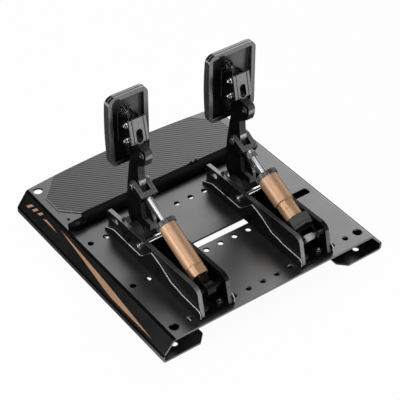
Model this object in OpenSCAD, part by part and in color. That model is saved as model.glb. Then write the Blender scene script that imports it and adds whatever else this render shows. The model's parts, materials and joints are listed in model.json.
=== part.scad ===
// Sim racing pedal set: two floor-hinged pedals on one folded steel base plate.
// X+ is the driver's right, Y+ points away from the driver, Z+ is up.
// The origin is on the floor under the middle of the base plate.

/* [Base plate] */
// Width of the top face between its side folds
deck_w = 350; // [344:1:380]
// Depth of the top face on its centre line
deck_d = 393; // [388:1:430]
// Height of the top face above the floor
base_h = 35; // [32:1:45]
// Thickness of the folded sheet
sheet_t = 3; // [2:0.5:3.5]
// How far each sloping side wall leans outward
wall_lean = 19; // [14:1:26]
// Height of the upright foot below each sloping wall
wall_foot = 13; // [11:1:16]
// Width of the flanges turned in under the plate
flange_w = 75; // [68:1:85]
// Corner cut on the turned-in flanges
flange_cut = 13; // [8:1:18]
// Outer radius of the folds
bend_r = 5; // [4.5:0.5:7]
// How far the driver's edge bows out
edge_bow = 10; // [6:1:14]
// Radius of the floor fixing holes
floor_hole_r = 5; // [3:0.5:6]
// Inset of the floor fixings from the side of the plate
floor_hole_inset = 32; // [24:1:40]
// Distance of the rear floor fixings from the driver's edge
floor_hole_back = 22; // [20:1:30]
// Radius of the tool holes above the floor fixings
tool_hole_r = 7; // [6.5:0.5:9]

/* [Hole grid] */
// Pitch of the pedal fixing holes
hole_pitch = 25; // [24.5:0.5:25.5]
// Radius of the pedal fixing holes
grid_hole_r = 4.5; // [3.5:0.25:5]
// Distance of the front hole row from the front edge
front_row = 20; // [18:1:24]
// Distance of the middle hole row from the front edge
middle_row = 118; // [112:1:122]
// Distance of the back hole row from the front edge
back_row = 226; // [222:1:228]
// Width of the long cross slot
slot_w = 13; // [10:0.5:15]
// Distance of the cross slot from the front edge
slot_row = 135.5; // [133:0.5:140]

/* [Heel rest] */
// Width of the heel panel
panel_w = 324; // [300:1:334]
// Thickness of the heel panel
panel_t = 1.2; // [0.8:0.1:2]
// Distance from the front edge to the heel panel
panel_row = 290; // [284:1:296]
// Corner cut of the heel panel
panel_cut = 24; // [18:1:30]
// Distance of the heel bar's ends from the side folds
bar_inset = 28; // [26:1:36]
// Height of the heel bar
bar_h = 13; // [11:0.5:16]
// Depth of the heel bar
bar_d = 14; // [13:0.5:18]
// Distance from the front edge to the heel bar
bar_row = 259.5; // [256:0.5:264]
// Height of the heel bar's end lug
lug_h = 10; // [8:0.5:11]

/* [Pedal frames] */
// Right pedal centre line from the middle of the plate
throttle_x = 98.5; // [94:0.5:102]
// Hole steps between the two pedals
pedal_steps = 7; // [6:1:7]
// Clear width between the side plates of a frame
frame_gap = 40; // [38:0.5:42]
// Thickness of a side plate
side_t = 6.5; // [5:0.5:8]
// Height of the side plates' top edge at the front
side_h = 46.5; // [44:0.5:50]
// Sheet thickness of the channel under each frame
channel_t = 2.5; // [2:0.5:3]
// Height of the channel's low side walls
channel_h = 13.5; // [10:0.5:15]
// Height of the channel's raised side tongues
tongue_h = 38.5; // [34:0.5:40]
// Distance of the channel's driver end from the front edge
channel_back = 242; // [240:1:246]
// Distance of the channel's far end from the front edge
channel_front = 7; // [4:0.5:8]
// Distance of the pedal pivot from the front edge
pivot_row = 187; // [184:1:190]
// Height of the pedal pivot above the plate
pivot_h = 21; // [20.5:0.5:24]
// Radius of the pivot shaft
pivot_r = 6; // [5:0.5:7]
// Distance of the stop bar from the front edge
stop_row = 153; // [151:0.5:154]
// Height of the stop bar above the plate
stop_h = 30; // [28:0.5:31]
// Radius of the stop bar
stop_r = 5; // [4:0.5:5.5]
// Distance of the damper's lower pin from the front edge
anchor_row = 29; // [28:0.5:32]
// Height of the damper's lower pin above the plate
anchor_h = 28; // [26:0.5:30]
// Radius of the damper's lower pin
anchor_r = 4; // [3.5:0.25:5]

/* [Pedal arms] */
// Thickness of a pedal arm
arm_t = 11; // [10:0.5:13]
// Width of the slanted faces along the arm's driver edge
arm_bevel = 9; // [5:0.5:10]
// Radius of the arm's pivot hub
hub_r = 16; // [13:0.5:16]
// Reach of the knuckle below the pad bracket
knuckle_reach = 26; // [22:0.5:28]
// Distance of the damper's upper pin from the front edge
clevis_row = 190; // [188:0.5:192]
// Height of the damper's upper pin above the plate
clevis_h = 105.5; // [102:0.5:109]
// Radius of the damper's upper pin
clevis_pin_r = 4; // [3:0.5:4.5]
// Outer width of the pad bracket
bracket_w = 28; // [26:0.5:32]
// Width of the pad bracket over its side walls
bracket_body_w = 22; // [20:0.5:24]
// Sheet thickness of the pad bracket
bracket_t = 2.5; // [2:0.5:3]

/* [Pads] */
// Width of the right pad
throttle_pad_w = 64; // [60:1:72]
// Width of the left pad
brake_pad_w = 81; // [74:1:90]
// Height of both pads
pad_h = 114; // [108:1:122]
// Depth of a pad from its crown to its rim
pad_d = 13; // [11.5:0.5:15]
// Crown height of a pad's driver face
pad_crown = 3.75; // [2.5:0.25:5]
// Corner radius of a pad
pad_corner = 11.5; // [8:0.5:13]
// Width of a pad's rim
pad_rim = 7; // [5:0.5:8]
// Thickness of a pad's floor
pad_floor = 4; // [3:0.5:5]

/* [Dampers] */
// Outer radius of the right damper tube
throttle_tube_r = 13.25; // [12.75:0.25:14.5]
// Outer radius of the left damper tube
brake_tube_r = 15.25; // [14.75:0.25:16]
// Wall of the damper tubes
tube_wall = 2; // [1.5:0.25:2.5]
// Distance from the lower pin to the open end of the tubes
tube_end = 108.8; // [106:0.2:111]
// Distance from the lower pin to the right tube's closed end
throttle_tube_start = 20.5; // [19.5:0.5:22]
// Distance from the lower pin to the left tube's closed end
brake_tube_start = 35; // [34:0.5:37]
// Radius of the right rod
throttle_rod_r = 4.5; // [4:0.25:5]
// Radius of the left rod
brake_rod_r = 5.5; // [5:0.25:6]
// Notches around each preload collar
collar_notches = 24; // [18:1:30]
// Turns of the return spring
spring_turns = 9; // [7:1:11]

/* [Hidden] */

$fn = 64;
eps = 0.01;
run_gap = 0.05;
side_gap = 0.2;

// Paint colours
black = "#202022";
plate_black = "#2b2b2e";
carbon = "#4a4a4d";
copper = "#c8996b";
chrome = "#d9dadb";
steel = "#77787c";
bronze = "#a8854c";
rubber = "#3a3a3a";
board_green = "#2e5a3c";

// Base plate layout
front_y = deck_d / 2;
fold_x = deck_w / 2;
side_x = fold_x + wall_lean;
wall_angle = atan2(wall_lean, base_h - wall_foot);
edge_radius = (fold_x * fold_x + edge_bow * edge_bow) / (2 * edge_bow);
flange_x = side_x - flange_w;
floor_hole_x = side_x - floor_hole_inset;
floor_hole_row = deck_d - floor_hole_back;
bar_w = deck_w - 2 * bar_inset;
first_hole_x = throttle_x + 1.5 * hole_pitch;
brake_x = throttle_x - pedal_steps * hole_pitch;
front_steps = [0:11];
middle_steps = [0, 3, 4, 5, 6, 7, 10];
back_steps = [0, 3, 5, 6, 7, 10];
slot_right = -fold_x + 10;
slot_left = throttle_x - 8;

// Pedal frame layout, measured from the front edge and the top of the plate
plate_in = frame_gap / 2;
plate_out = plate_in + side_t;
channel_out = plate_out + channel_t;
bolt_x = hole_pitch / 2;
bolt_r = 3;
bolt_head_r = 5;
bolt_head_h = 3.5;
nut_r = 5.8;
nut_h = 5;

// Damper axis, from the lower pin to the upper pin
damper_dy = clevis_row - anchor_row;
damper_dz = clevis_h - anchor_h;
damper_len = norm([damper_dy, damper_dz]);
damper_tilt = atan2(damper_dy, damper_dz);
fork_in = arm_t / 2 + 1.25;
fork_out = fork_in + 6.75;
fork_r = 7;
web_near = damper_len - 17.7;
web_far = damper_len - 25.3;
piston_top = 91;
piston_t = 5;
tube_floor = 4;

// Pad and pad bracket layout; the pad's face lies ahead of the damper's upper pin
pad_row = clevis_row + 33.5;
pad_z = clevis_h + 84.5;
pad_face_r = (pad_h * pad_h / 4 + pad_crown * pad_crown) / (2 * pad_crown);
land_y = 5;
bracket_top = 27;
bracket_bottom = -9;
web_top_y = 33;
web_bottom_y = 40.5;
pad_bolts = [[22.5, 13.5], [22.5, -12]];

function arc(cx, cy, r, a0, a1, n = 4) =
    [for (i = [0:n]) let (a = a0 + (a1 - a0) * i / n) [cx + r * cos(a), cy + r * sin(a)]];
function flip(points) = [for (p = points) [-p[0], p[1]]];
function reversed(points) = [for (i = [len(points) - 1:-1:0]) points[i]];
function hole_x(step) = first_hole_x - step * hole_pitch;

// Places children at a pedal's centre line, on the plate's top at its front edge
module at_pedal(x) {
    translate([x, front_y, base_h]) children();
}

// Draws a side view, given as [y, z] points, from x0 to x1
module side_view(x0, x1) {
    translate([x0, 0, 0]) rotate([90, 0, 90]) linear_extrude(x1 - x0) children();
}

// A round bar along X
module x_bar(x0, x1, r, row = 0, h = 0) {
    translate([x0, -row, h]) rotate([0, 90, 0]) cylinder(h = x1 - x0, r = r);
}

// Places children on a damper's axis, with local Z running up from its lower pin
module on_damper() {
    translate([0, -anchor_row, anchor_h]) rotate([damper_tilt, 0, 0]) children();
}

// Places children in a pad's frame, with local Y running away from the driver
module on_pad() {
    translate([0, -pad_row, pad_z]) children();
}

module rounded_square(w, h, r) {
    square([w - 2 * r, h], center = true);
    square([w, h - 2 * r], center = true);
    for (sx = [-1, 1], sy = [-1, 1]) translate([sx * (w / 2 - r), sy * (h / 2 - r)]) circle(r);
}

// Folded section of the base plate, from one turned-in flange round to the other
function fold_points(r) = concat(
    arc(side_x - bend_r, bend_r, r, -90, 0),
    arc(side_x - bend_r, wall_foot - bend_r * tan(wall_angle / 2), r, 0, wall_angle),
    arc(fold_x - bend_r * tan(45 - wall_angle / 2), base_h - bend_r, r, wall_angle, 90));
outer_fold = concat([[flange_x, 0]], fold_points(bend_r));
inner_fold = concat([[flange_x, sheet_t]], fold_points(bend_r - sheet_t));
section_points = concat(outer_fold, flip(reversed(outer_fold)), flip(inner_fold),
                        reversed(inner_fold));

module bowed_edge(inset = 0) {
    translate([0, edge_radius - front_y, -base_h])
        cylinder(h = 3 * base_h, r = edge_radius - inset, $fn = 720);
}

module plate_hole(x, row, r) {
    translate([x, front_y - row, base_h - sheet_t - 1]) cylinder(h = sheet_t + 2, r = r);
}

// Slanted cuts on the inner corners of the turned-in flanges
module flange_cuts() {
    for (side = [-1, 1], end = [-1, 1])
        translate([side * flange_x, end * (front_y - (end < 0 ? edge_bow / 2 : 0)), -1])
            rotate([0, 0, 45]) cube([flange_cut * sqrt(2), flange_cut * sqrt(2),
                                     2 * (sheet_t + 2)], center = true);
}

module base_plate() {
    color(black) difference() {
        intersection() {
            translate([0, front_y, 0]) rotate([90, 0, 0])
                linear_extrude(deck_d + 1) polygon(section_points);
            bowed_edge();
        }
        flange_cuts();
        for (k = front_steps) plate_hole(hole_x(k), front_row, grid_hole_r);
        for (k = middle_steps) plate_hole(hole_x(k), middle_row, grid_hole_r);
        for (k = back_steps) plate_hole(hole_x(k), back_row, grid_hole_r);
        for (x = [throttle_x, brake_x], s = [-1, 1]) plate_hole(x + s * bolt_x, back_row, bolt_r + 0.3);
        for (row = [middle_row, back_row]) plate_hole(floor_hole_x, row, grid_hole_r);
        for (s = [-1, 1], row = [front_row, floor_hole_row]) {
            plate_hole(s * floor_hole_x, row, tool_hole_r);
            translate([s * floor_hole_x, front_y - row, -1]) cylinder(h = sheet_t + 2, r = floor_hole_r);
        }
        for (s = [1, -1])
            plate_hole(s > 0 ? lug_screw_x : bar_screw_x, bar_row + bar_d / 2, bar_screw_r + 0.2);
        translate([(slot_left + slot_right) / 2, front_y - slot_row, base_h - sheet_t - 1])
            linear_extrude(sheet_t + 2) rounded_square(slot_left - slot_right, slot_w, 4);
    }
}

// Heel panel: a thin eight-sided sheet whose driver's edge follows the plate
module heel_panel() {
    half = panel_w / 2;
    far = deck_d + 2;
    side_end = far - 0.44 * (deck_d - panel_row);
    near = [[half - panel_cut, -panel_row], [half, -panel_row - panel_cut],
            [half, -side_end], [half - (far - side_end), -far]];
    color(carbon) intersection() {
        translate([0, front_y, base_h]) linear_extrude(panel_t)
            polygon(concat(near, flip(reversed(near))));
        bowed_edge(1.5);
    }
}

// Heel bar: a long cover with a rounded front and a screwed lug at its right end
lug_w = 24;
bar_wall = 2;
bar_screw_r = 2;
lug_screw_x = bar_w / 2 + 11;
bar_screw_x = -bar_w / 2 + 9;
module heel_bar() {
    front_r = min(9, bar_h - 3);
    outline = concat([[-bar_row - bar_d, 0], [-bar_row - bar_d, bar_h]],
                     reversed(arc(-bar_row - front_r, bar_h - front_r, front_r, 0, 90, 6)),
                     [[-bar_row, 0]]);
    color(black) translate([0, front_y, base_h]) difference() {
        union() {
            side_view(-bar_w / 2, bar_w / 2) polygon(outline);
            linear_extrude(lug_h) polygon([
                [bar_w / 2 - 1, -bar_row], [bar_w / 2 + lug_w - 6, -bar_row],
                [bar_w / 2 + lug_w, -bar_row - 5], [bar_w / 2 + lug_w, -bar_row - bar_d + 2],
                [bar_w / 2 - 1, -bar_row - bar_d]]);
        }
        translate([-bar_w / 2 + 18, -bar_row - bar_d + bar_wall, -1])
            cube([bar_w - 18 - 2 * bar_wall, bar_d - bar_wall - 5, bar_h - bar_wall + 1]);
        translate([lug_screw_x, -bar_row - bar_d / 2, -1]) cylinder(h = bar_h, r = bar_screw_r + 0.1);
        translate([lug_screw_x, -bar_row - bar_d / 2, lug_h - 3]) cylinder(h = 5, r = 5);
        translate([bar_screw_x, -bar_row - bar_d / 2, -1]) cylinder(h = bar_h, r = bar_screw_r + 0.1);
        translate([bar_screw_x, -bar_row - bar_d / 2, bar_h - 6]) cylinder(h = 8, r = 4);
    }
}

module heel_bar_screws() {
    for (spot = [[lug_screw_x, lug_h - 3], [bar_screw_x, bar_h - 6]])
        color(steel) translate([spot[0], front_y - bar_row - bar_d / 2, base_h]) {
            difference() {
                translate([0, 0, spot[1]]) cylinder(h = 2, r = 3.8);
                translate([0, 0, spot[1] + 1]) cylinder(h = 2, r = 1.5, $fn = 6);
            }
            translate([0, 0, -sheet_t - 3]) cylinder(h = sheet_t + 3 + spot[1] + eps, r = bar_screw_r);
        }
}

module control_board() {
    board_w = bar_w * 0.7;
    board_d = bar_d - bar_wall - 6;
    color(board_green) translate([0, front_y - bar_row - bar_d + bar_wall + 0.5, base_h]) {
        translate([-board_w / 2, 0, 3]) cube([board_w, board_d, 1.6]);
        for (k = [-3, -1, 1, 3])
            translate([k * board_w / 7, board_d / 2, 0]) cylinder(h = 3 + eps, r = 1.5);
        for (k = [-2, 0, 2])
            translate([k * board_w / 7 - 6, 1, 4.6 - eps]) cube([12, board_d - 2, 1.8]);
    }
}

// Bolts that hold the two channels on the plate
module channel_bolt_spots() {
    for (x = [throttle_x, brake_x], s = [-1, 1], row = [front_row, back_row])
        translate([x + s * bolt_x, front_y - row, base_h]) children();
}

module channel_bolts() {
    color(steel) channel_bolt_spots() difference() {
        union() {
            translate([0, 0, channel_t]) cylinder(h = bolt_head_h, r = bolt_head_r);
            translate([0, 0, -sheet_t - nut_h - 1])
                cylinder(h = sheet_t + nut_h + 1 + channel_t + eps, r = bolt_r);
        }
        translate([0, 0, channel_t + 1.5]) cylinder(h = 4, r = 2.3, $fn = 6);
    }
}

module channel_nuts() {
    color(steel) channel_bolt_spots() translate([0, 0, -sheet_t - nut_h]) difference() {
        cylinder(h = nut_h, r = nut_r, $fn = 6);
        translate([0, 0, -1]) cylinder(h = nut_h + 2, r = bolt_r);
    }
}

// Channel under a frame: a floor and two side walls, each with a raised tongue
module channel() {
    wall = [[-channel_back, 0], [-channel_back, 4], [-channel_back + 24, channel_h],
            [-152, channel_h], [-145, channel_h + 4], [-123.5, tongue_h], [-119, tongue_h - 0.5],
            [-100, 0.82 * tongue_h], [-76, channel_h + 5.5], [-62, channel_h + 4],
            [-50, channel_h + 2], [-channel_front - 5, channel_h + 1.5],
            [-channel_front, channel_h - 2], [-channel_front, 0]];
    color(plate_black) difference() {
        union() {
            translate([-channel_out, -channel_back, 0])
                cube([2 * channel_out, channel_back - channel_front, channel_t]);
            for (s = [-1, 1])
                side_view(s > 0 ? plate_out : -channel_out, s > 0 ? channel_out : -plate_out)
                    polygon(wall);
        }
        for (s = [-1, 1], row = [front_row, back_row])
            translate([s * bolt_x, -row, -1]) cylinder(h = channel_t + 2, r = bolt_r + run_gap);
    }
}

// Side plate: thick, with a window near the driver's end and a small stub on its inner edge
module side_plate(side) {
    window_row = 217;
    window_h = 30.5;
    back = channel_back - 7;
    front = channel_front + 1.5;
    outline = [[-back + 5, channel_t], [-back, 8], [-back, side_h - 8.5], [-200, side_h - 6.5],
               [-150, side_h - 5], [-front - 20, side_h], [-front - 12, side_h - 2.5],
               [-front - 8, side_h - 8], [-front, channel_t]];
    inner = side > 0 ? plate_in : -plate_out;
    color(plate_black) difference() {
        union() {
            side_view(inner, inner + side_t) polygon(outline);
            side_view(side > 0 ? plate_in : -plate_in - 2.5, side > 0 ? plate_in + 2.5 : -plate_in)
                polygon([[-207, side_h - 8], [-201.5, side_h - 1], [-199.5, side_h - 8]]);
        }
        x_bar(inner - 1, inner + side_t + 1, pivot_r + run_gap, pivot_row, pivot_h);
        x_bar(inner - 1, inner + side_t + 1, bolt_r, stop_row, stop_h);
        x_bar(side > 0 ? plate_in - 1 : -plate_in - 4.5, side > 0 ? plate_in + 4.5 : -plate_in + 1,
              anchor_r + run_gap, anchor_row, anchor_h);
        for (dy = [-4, 4]) x_bar(inner - 1, inner + side_t + 1, 4.2, window_row + dy, window_h);
        translate([inner - 1, -window_row - 4, window_h - 4.2]) cube([side_t + 2, 8, 8.4]);
    }
}

sensor_dy = 11.5;
sensor_r = 4;
sensor_t = 3;
module sensor_pocket() {
    x_bar(-plate_in - sensor_t, -plate_in + 1, sensor_r + run_gap, pivot_row - sensor_dy, pivot_h);
}

module pivot_shaft() {
    color(chrome) x_bar(-plate_out, plate_out, pivot_r, pivot_row, pivot_h);
}

// Keeper plates that close the pivot bores from outside
module pivot_keepers() {
    color(steel) for (s = [-1, 1])
        translate([s > 0 ? plate_out : -plate_out - 2.5, -pivot_row, pivot_h]) rotate([-37, 0, 0]) {
            for (dy = [-3, 3]) x_bar(0, 2.5, 5, dy, 0);
            translate([0, -3, -5]) cube([2.5, 6, 10]);
            x_bar(s > 0 ? 2.5 - eps : -1.2, s > 0 ? 3.7 : eps, 2.6);
        }
}

module stop_bar() {
    color(chrome) difference() {
        x_bar(-plate_in, plate_in, stop_r, stop_row, stop_h);
        for (s = [-1, 1]) x_bar(s > 0 ? plate_in - 8 : -plate_in - 1, s > 0 ? plate_in + 1 : 8 - plate_in,
                                bolt_r - 0.5, stop_row, stop_h);
    }
}

module stop_screws() {
    color(steel) for (s = [0, 180]) translate([0, -stop_row, stop_h]) rotate([0, 0, s]) difference() {
        union() {
            x_bar(plate_out, plate_out + bolt_head_h, bolt_head_r);
            x_bar(plate_in, plate_out + eps, bolt_r);
            x_bar(plate_in - 7, plate_in + eps, bolt_r - 0.5);
        }
        translate([plate_out + 1.5, 0, 0]) rotate([0, 90, 0]) cylinder(h = 4, r = 2.3, $fn = 6);
    }
}

module lower_pin() {
    color(chrome) x_bar(-plate_in - 4.3, plate_in + 4.3, anchor_r, anchor_row, anchor_h);
}

// Pedal arm: a flat plate with a wide hub, a stop foot with a side web, and a knuckle
foot_front = stop_row + 4.5;
foot_bottom = stop_h + stop_r + 9;
foot_top = foot_bottom + 10;
bush_flange = 0.8;
bush_r = pivot_r + 2;
hub_w = frame_gap - 2 * (side_gap + bush_flange);
bracket_in = bracket_body_w / 2 - bracket_t;
pad_bolt_r = 2.5;
pad_screw_r = 1.5;
knuckle_y = -clevis_row + 15.5;
knuckle_z = clevis_h + 59.5;
bevel_angle = atan2(2, arm_bevel);

// Slanted faces along the driver's edge of an arm
module arm_bevels() {
    for (s = [-1, 1])
        translate([s * arm_t / 2, -pivot_row - 32.5 + arm_bevel, pivot_h + 33])
            rotate([-8.3, 0, 0]) rotate([0, 0, -s * bevel_angle])
                translate([s > 0 ? 0 : -6, -30, -14]) cube([6, 30, 112]);
}

module arm() {
    y = -clevis_row;
    z = clevis_h;
    outline = [
        [-pivot_row - hub_r, pivot_h], [-pivot_row - 22, pivot_h + 9],
        [-pivot_row - 30, pivot_h + 21], [-pivot_row - 32.5, pivot_h + 33],
        [-pivot_row - 31.5, pivot_h + 45], [y - 26.5, z - 15.5], [y - 23.5, z + 3.5],
        [y - 20, z + 24.5], [y - 17, z + 34.5], [y - 15, z + 59.5], [y - 20.5, z + 70.5],
        [y - 20.5, z + 80], [y - 6, z + 80], [y + 2.5, z + 76], [y + 2.5, z + 70.7],
        [y + 8.5, z + 70.7], [y + 8.5, z + 73.5], [y + 16.5, z + 72.5], [y + 17, z + 69.5],
        [y + 18.5, z + 69.5], [y + 19, z + 72], [y + knuckle_reach - 2.5, z + 71.5],
        [y + knuckle_reach, z + 67], [y + knuckle_reach, z + 58.5],
        [y + knuckle_reach - 3.5, z + 47], [y + 9, z + 37.5], [y + 5, z + 33.5], [y + 6, z + 19.5],
        [y + 8.5, z + 6.5], [y + 9, z - 15.5], [-pivot_row + 7, pivot_h + 53],
        [-pivot_row + 9.5, foot_top], [-foot_front, foot_top],
        [-foot_front, foot_bottom], [-pivot_row + 14, foot_bottom - 4],
        [-pivot_row + hub_r, pivot_h]];
    head = [[y - 20.5, z + 72], [y - 22.5, z + 82], [y - 22.5, z + 106.5], [y - 17.5, z + 106.5],
            [y - 16.5, z + 102.5], [y - 6, z + 102.5], [y - 6, z + 82], [y - 9, z + 72]];
    color(black) difference() {
        union() {
            difference() {
                side_view(-arm_t / 2, arm_t / 2) polygon(outline);
                arm_bevels();
            }
            x_bar(-hub_w / 2, hub_w / 2, hub_r, pivot_row, pivot_h);
            side_view(-bracket_in + side_gap, bracket_in - side_gap) polygon(head);
            x_bar(0, arm_t / 2 + 1.2, 5.5, -knuckle_y, knuckle_z);
            side_view(-arm_t / 2, -arm_t / 2 + 5) polygon([
                [y + 8, foot_top - 1], [y + 8, foot_top + 32], [y + 14, foot_top + 26],
                [y + 26, foot_top + 17], [-foot_front, foot_top + 6], [-foot_front, foot_top - 1]]);
        }
        x_bar(-hub_w, hub_w, bush_r, pivot_row, pivot_h);
        x_bar(-arm_t, arm_t, clevis_pin_r, clevis_row, clevis_h);
        x_bar(-arm_t, arm_t, 2.5, -knuckle_y, knuckle_z);
        on_pad() for (b = pad_bolts) x_bar(-arm_t, arm_t, pad_bolt_r + run_gap, -b[0], b[1]);
    }
}

module bushings() {
    color(bronze) for (s = [0, 180]) translate([0, -pivot_row, pivot_h]) rotate([0, 0, s]) difference() {
        union() {
            x_bar(2, hub_w / 2 + eps, bush_r);
            x_bar(hub_w / 2, hub_w / 2 + bush_flange, bush_r + 3);
        }
        x_bar(0, hub_w, pivot_r + run_gap);
    }
}

module clevis_pin() {
    color(chrome) {
        x_bar(-fork_out - 1.7, fork_out + 0.5, clevis_pin_r, clevis_row, clevis_h);
        x_bar(fork_out + 0.2, fork_out + 2, 4.8, clevis_row, clevis_h);
        x_bar(-fork_out - 1.7, -fork_out - 0.2, 5, clevis_row, clevis_h);
    }
}

// Pad bracket: a box of sheet with a wide slanted web that faces away from the driver,
// and an ear with a round boss on its right side
screw_spots = [-7, 7];
ear_spot = [20, 38];
ear_r = 7.5;
module pad_bracket() {
    body = bracket_body_w / 2;
    flange = [[land_y, -22], [land_y, bracket_top - 8], [land_y + 6, bracket_top - 4.5],
              [web_top_y - 1, bracket_top - 1], [web_bottom_y - 1, bracket_bottom], [24, -22]];
    ear = [[land_y + 7, bracket_top - 6], [ear_spot[0] - ear_r, ear_spot[1]],
           [ear_spot[0] + ear_r, ear_spot[1]], [web_top_y - 4, bracket_top - 6]];
    web = [[web_top_y, bracket_top], [web_bottom_y, bracket_bottom],
           [web_bottom_y - bracket_t, bracket_bottom], [web_top_y - bracket_t, bracket_top]];
    tongue = [[web_bottom_y, bracket_bottom], [web_bottom_y + 0.8, bracket_bottom - 4.4],
              [web_bottom_y - bracket_t + 0.8, bracket_bottom - 4.4],
              [web_bottom_y - bracket_t, bracket_bottom]];
    lean = atan2(web_bottom_y - web_top_y, bracket_top - bracket_bottom);
    color(steel) on_pad() difference() {
        union() {
            for (s = [-1, 1])
                side_view(s > 0 ? bracket_in : -body, s > 0 ? body : -bracket_in) polygon(flange);
            side_view(bracket_in, body) polygon(ear);
            x_bar(bracket_in, body + 2.5, ear_r, -ear_spot[0], ear_spot[1]);
            translate([-body, land_y, -22]) cube([2 * body, bracket_t, bracket_top + 14]);
            side_view(-bracket_w / 2, bracket_w / 2) polygon(web);
            side_view(-4, 4) polygon(tongue);
        }
        for (dz = [-4.8, 4.8])
            translate([0, 28, 0.9 + dz]) rotate([-90, 0, 0]) cylinder(h = 30, r = 5.2);
        translate([-5.2, 28, -3.9]) cube([10.4, 30, 9.6]);
        for (s = [-1, 1]) translate([s * 9.3 - 0.5, web_bottom_y, bracket_bottom + 4])
            rotate([lean, 0, 0]) translate([0, -0.7, 0]) cube([1, 3, 31]);
        for (b = pad_bolts) x_bar(-bracket_w, bracket_w, pad_bolt_r + run_gap, -b[0], b[1]);
        x_bar(body, body + 4, ear_r / 2, -ear_spot[0], ear_spot[1]);
        for (z = screw_spots)
            translate([0, land_y - 1, z]) rotate([-90, 0, 0]) cylinder(h = 6, r = pad_screw_r);
    }
}

module pad_bolts() {
    body = bracket_body_w / 2;
    color(chrome) on_pad() for (b = pad_bolts) {
        difference() {
            union() {
                x_bar(body, body + 1, 5.2, -b[0], b[1]);
                x_bar(body + 1 - eps, body + 4, 4.5, -b[0], b[1]);
            }
            translate([body + 2.2, b[0], b[1]]) rotate([0, 90, 0]) cylinder(h = 4, r = 2, $fn = 6);
        }
        x_bar(-body - 3, body + eps, pad_bolt_r, -b[0], b[1]);
        translate([-body - 3.5, b[0], b[1]]) rotate([0, 90, 0]) cylinder(h = 3.5, r = 4.8, $fn = 6);
    }
}

// Pad: a crowned plate with a deep rim behind it and a flat land for the bracket
seam_row = 8.2;
module pad(w) {
    color(black) on_pad() difference() {
        intersection() {
            rotate([-90, 0, 0]) linear_extrude(pad_d) rounded_square(w, pad_h, pad_corner);
            translate([-w, pad_face_r, 0]) rotate([0, 90, 0])
                cylinder(h = 2 * w, r = pad_face_r, $fn = 360);
        }
        difference() {
            intersection() {
                rotate([-90, 0, 0]) linear_extrude(pad_d + 1)
                    rounded_square(w - 2 * pad_rim, pad_h - 2 * pad_rim, 2.5);
                translate([-w, pad_face_r, 0]) rotate([0, 90, 0])
                    cylinder(h = 2 * w, r = pad_face_r - pad_floor, $fn = 360);
            }
            translate([-bracket_body_w / 2 - 2, 0, -24])
                cube([bracket_body_w + 4, land_y, 49]);
        }
        rotate([-90, 0, 0]) translate([0, 0, seam_row]) linear_extrude(0.8) difference() {
            square([w + 2, pad_h + 2], center = true);
            rounded_square(w - 0.8, pad_h - 0.8, pad_corner - 0.4);
        }
        for (z = screw_spots)
            translate([0, 2, z]) rotate([-90, 0, 0]) cylinder(h = 6, r = pad_screw_r);
    }
}

module pad_screws() {
    color(steel) on_pad() for (z = screw_spots)
        translate([0, land_y, z]) rotate([-90, 0, 0]) {
            translate([0, 0, -2.8]) cylinder(h = 2.8 + bracket_t, r = pad_screw_r);
            translate([0, 0, bracket_t]) cylinder(h = 1.8, r = 3);
        }
}

// Clevis: a fork over the arm, with a web that takes the rod
module clevis(rod_r) {
    color(steel) on_damper() difference() {
        union() {
            for (s = [-1, 1]) {
                x_bar(s > 0 ? fork_in : -fork_out, s > 0 ? fork_out : -fork_in, fork_r, 0, damper_len);
                translate([s > 0 ? fork_in : -fork_out, -fork_r, web_far])
                    cube([fork_out - fork_in, 2 * fork_r, damper_len - web_far]);
            }
            translate([-fork_out, -fork_r, web_far]) cube([2 * fork_out, 2 * fork_r, web_near - web_far]);
        }
        x_bar(-fork_out - 1, fork_out + 1, clevis_pin_r + run_gap, 0, damper_len);
        translate([0, 0, web_far - 1]) cylinder(h = 20, r = rod_r);
    }
}

module rod(rod_r) {
    color(chrome) on_damper() translate([0, 0, piston_top - piston_t])
        cylinder(h = web_near - piston_top + piston_t, r = rod_r);
}

module piston(tube_r, rod_r) {
    color(steel) on_damper() difference() {
        translate([0, 0, piston_top - piston_t]) cylinder(h = piston_t, r = tube_r - tube_wall - 0.6);
        translate([0, 0, piston_top - piston_t - 1]) cylinder(h = piston_t + 2, r = rod_r);
    }
}

// Preload collar: a notched cap on the open end of a tube
collar_t = 6.5;
collar_lip = 3;
module collar(tube_r, rod_r) {
    collar_r = tube_r + 1.9;
    color(plate_black) on_damper() difference() {
        translate([0, 0, tube_end + collar_lip - collar_t]) cylinder(h = collar_t, r = collar_r);
        translate([0, 0, tube_end - collar_t]) cylinder(h = collar_t, r = tube_r);
        cylinder(h = tube_end + 2 * collar_t, r = rod_r + 0.8);
        for (k = [0:collar_notches - 1]) rotate([0, 0, k * 360 / collar_notches])
            translate([collar_r - 0.8, -0.8, tube_end - collar_t]) cube([2, 1.6, 2 * collar_t]);
    }
}

// Right damper tube: a cup with wrench flats at its closed end
module throttle_tube() {
    start = throttle_tube_start;
    flat = throttle_tube_r - 1.2;
    color(copper) on_damper() difference() {
        translate([0, 0, start]) cylinder(h = tube_end - start, r = throttle_tube_r);
        translate([0, 0, start + tube_floor])
            cylinder(h = tube_end, r = throttle_tube_r - tube_wall);
        for (s = [0:3]) rotate([0, 0, 90 * s]) translate([-20, flat, start - 1]) cube([40, 9, 15]);
        translate([0, 0, start - 1]) cylinder(h = tube_floor + 2, r = 4);
        translate([0, 0, start + 14.5]) rotate_extrude()
            translate([throttle_tube_r - 0.6, 0]) square([2, 0.8]);
    }
}

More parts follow.
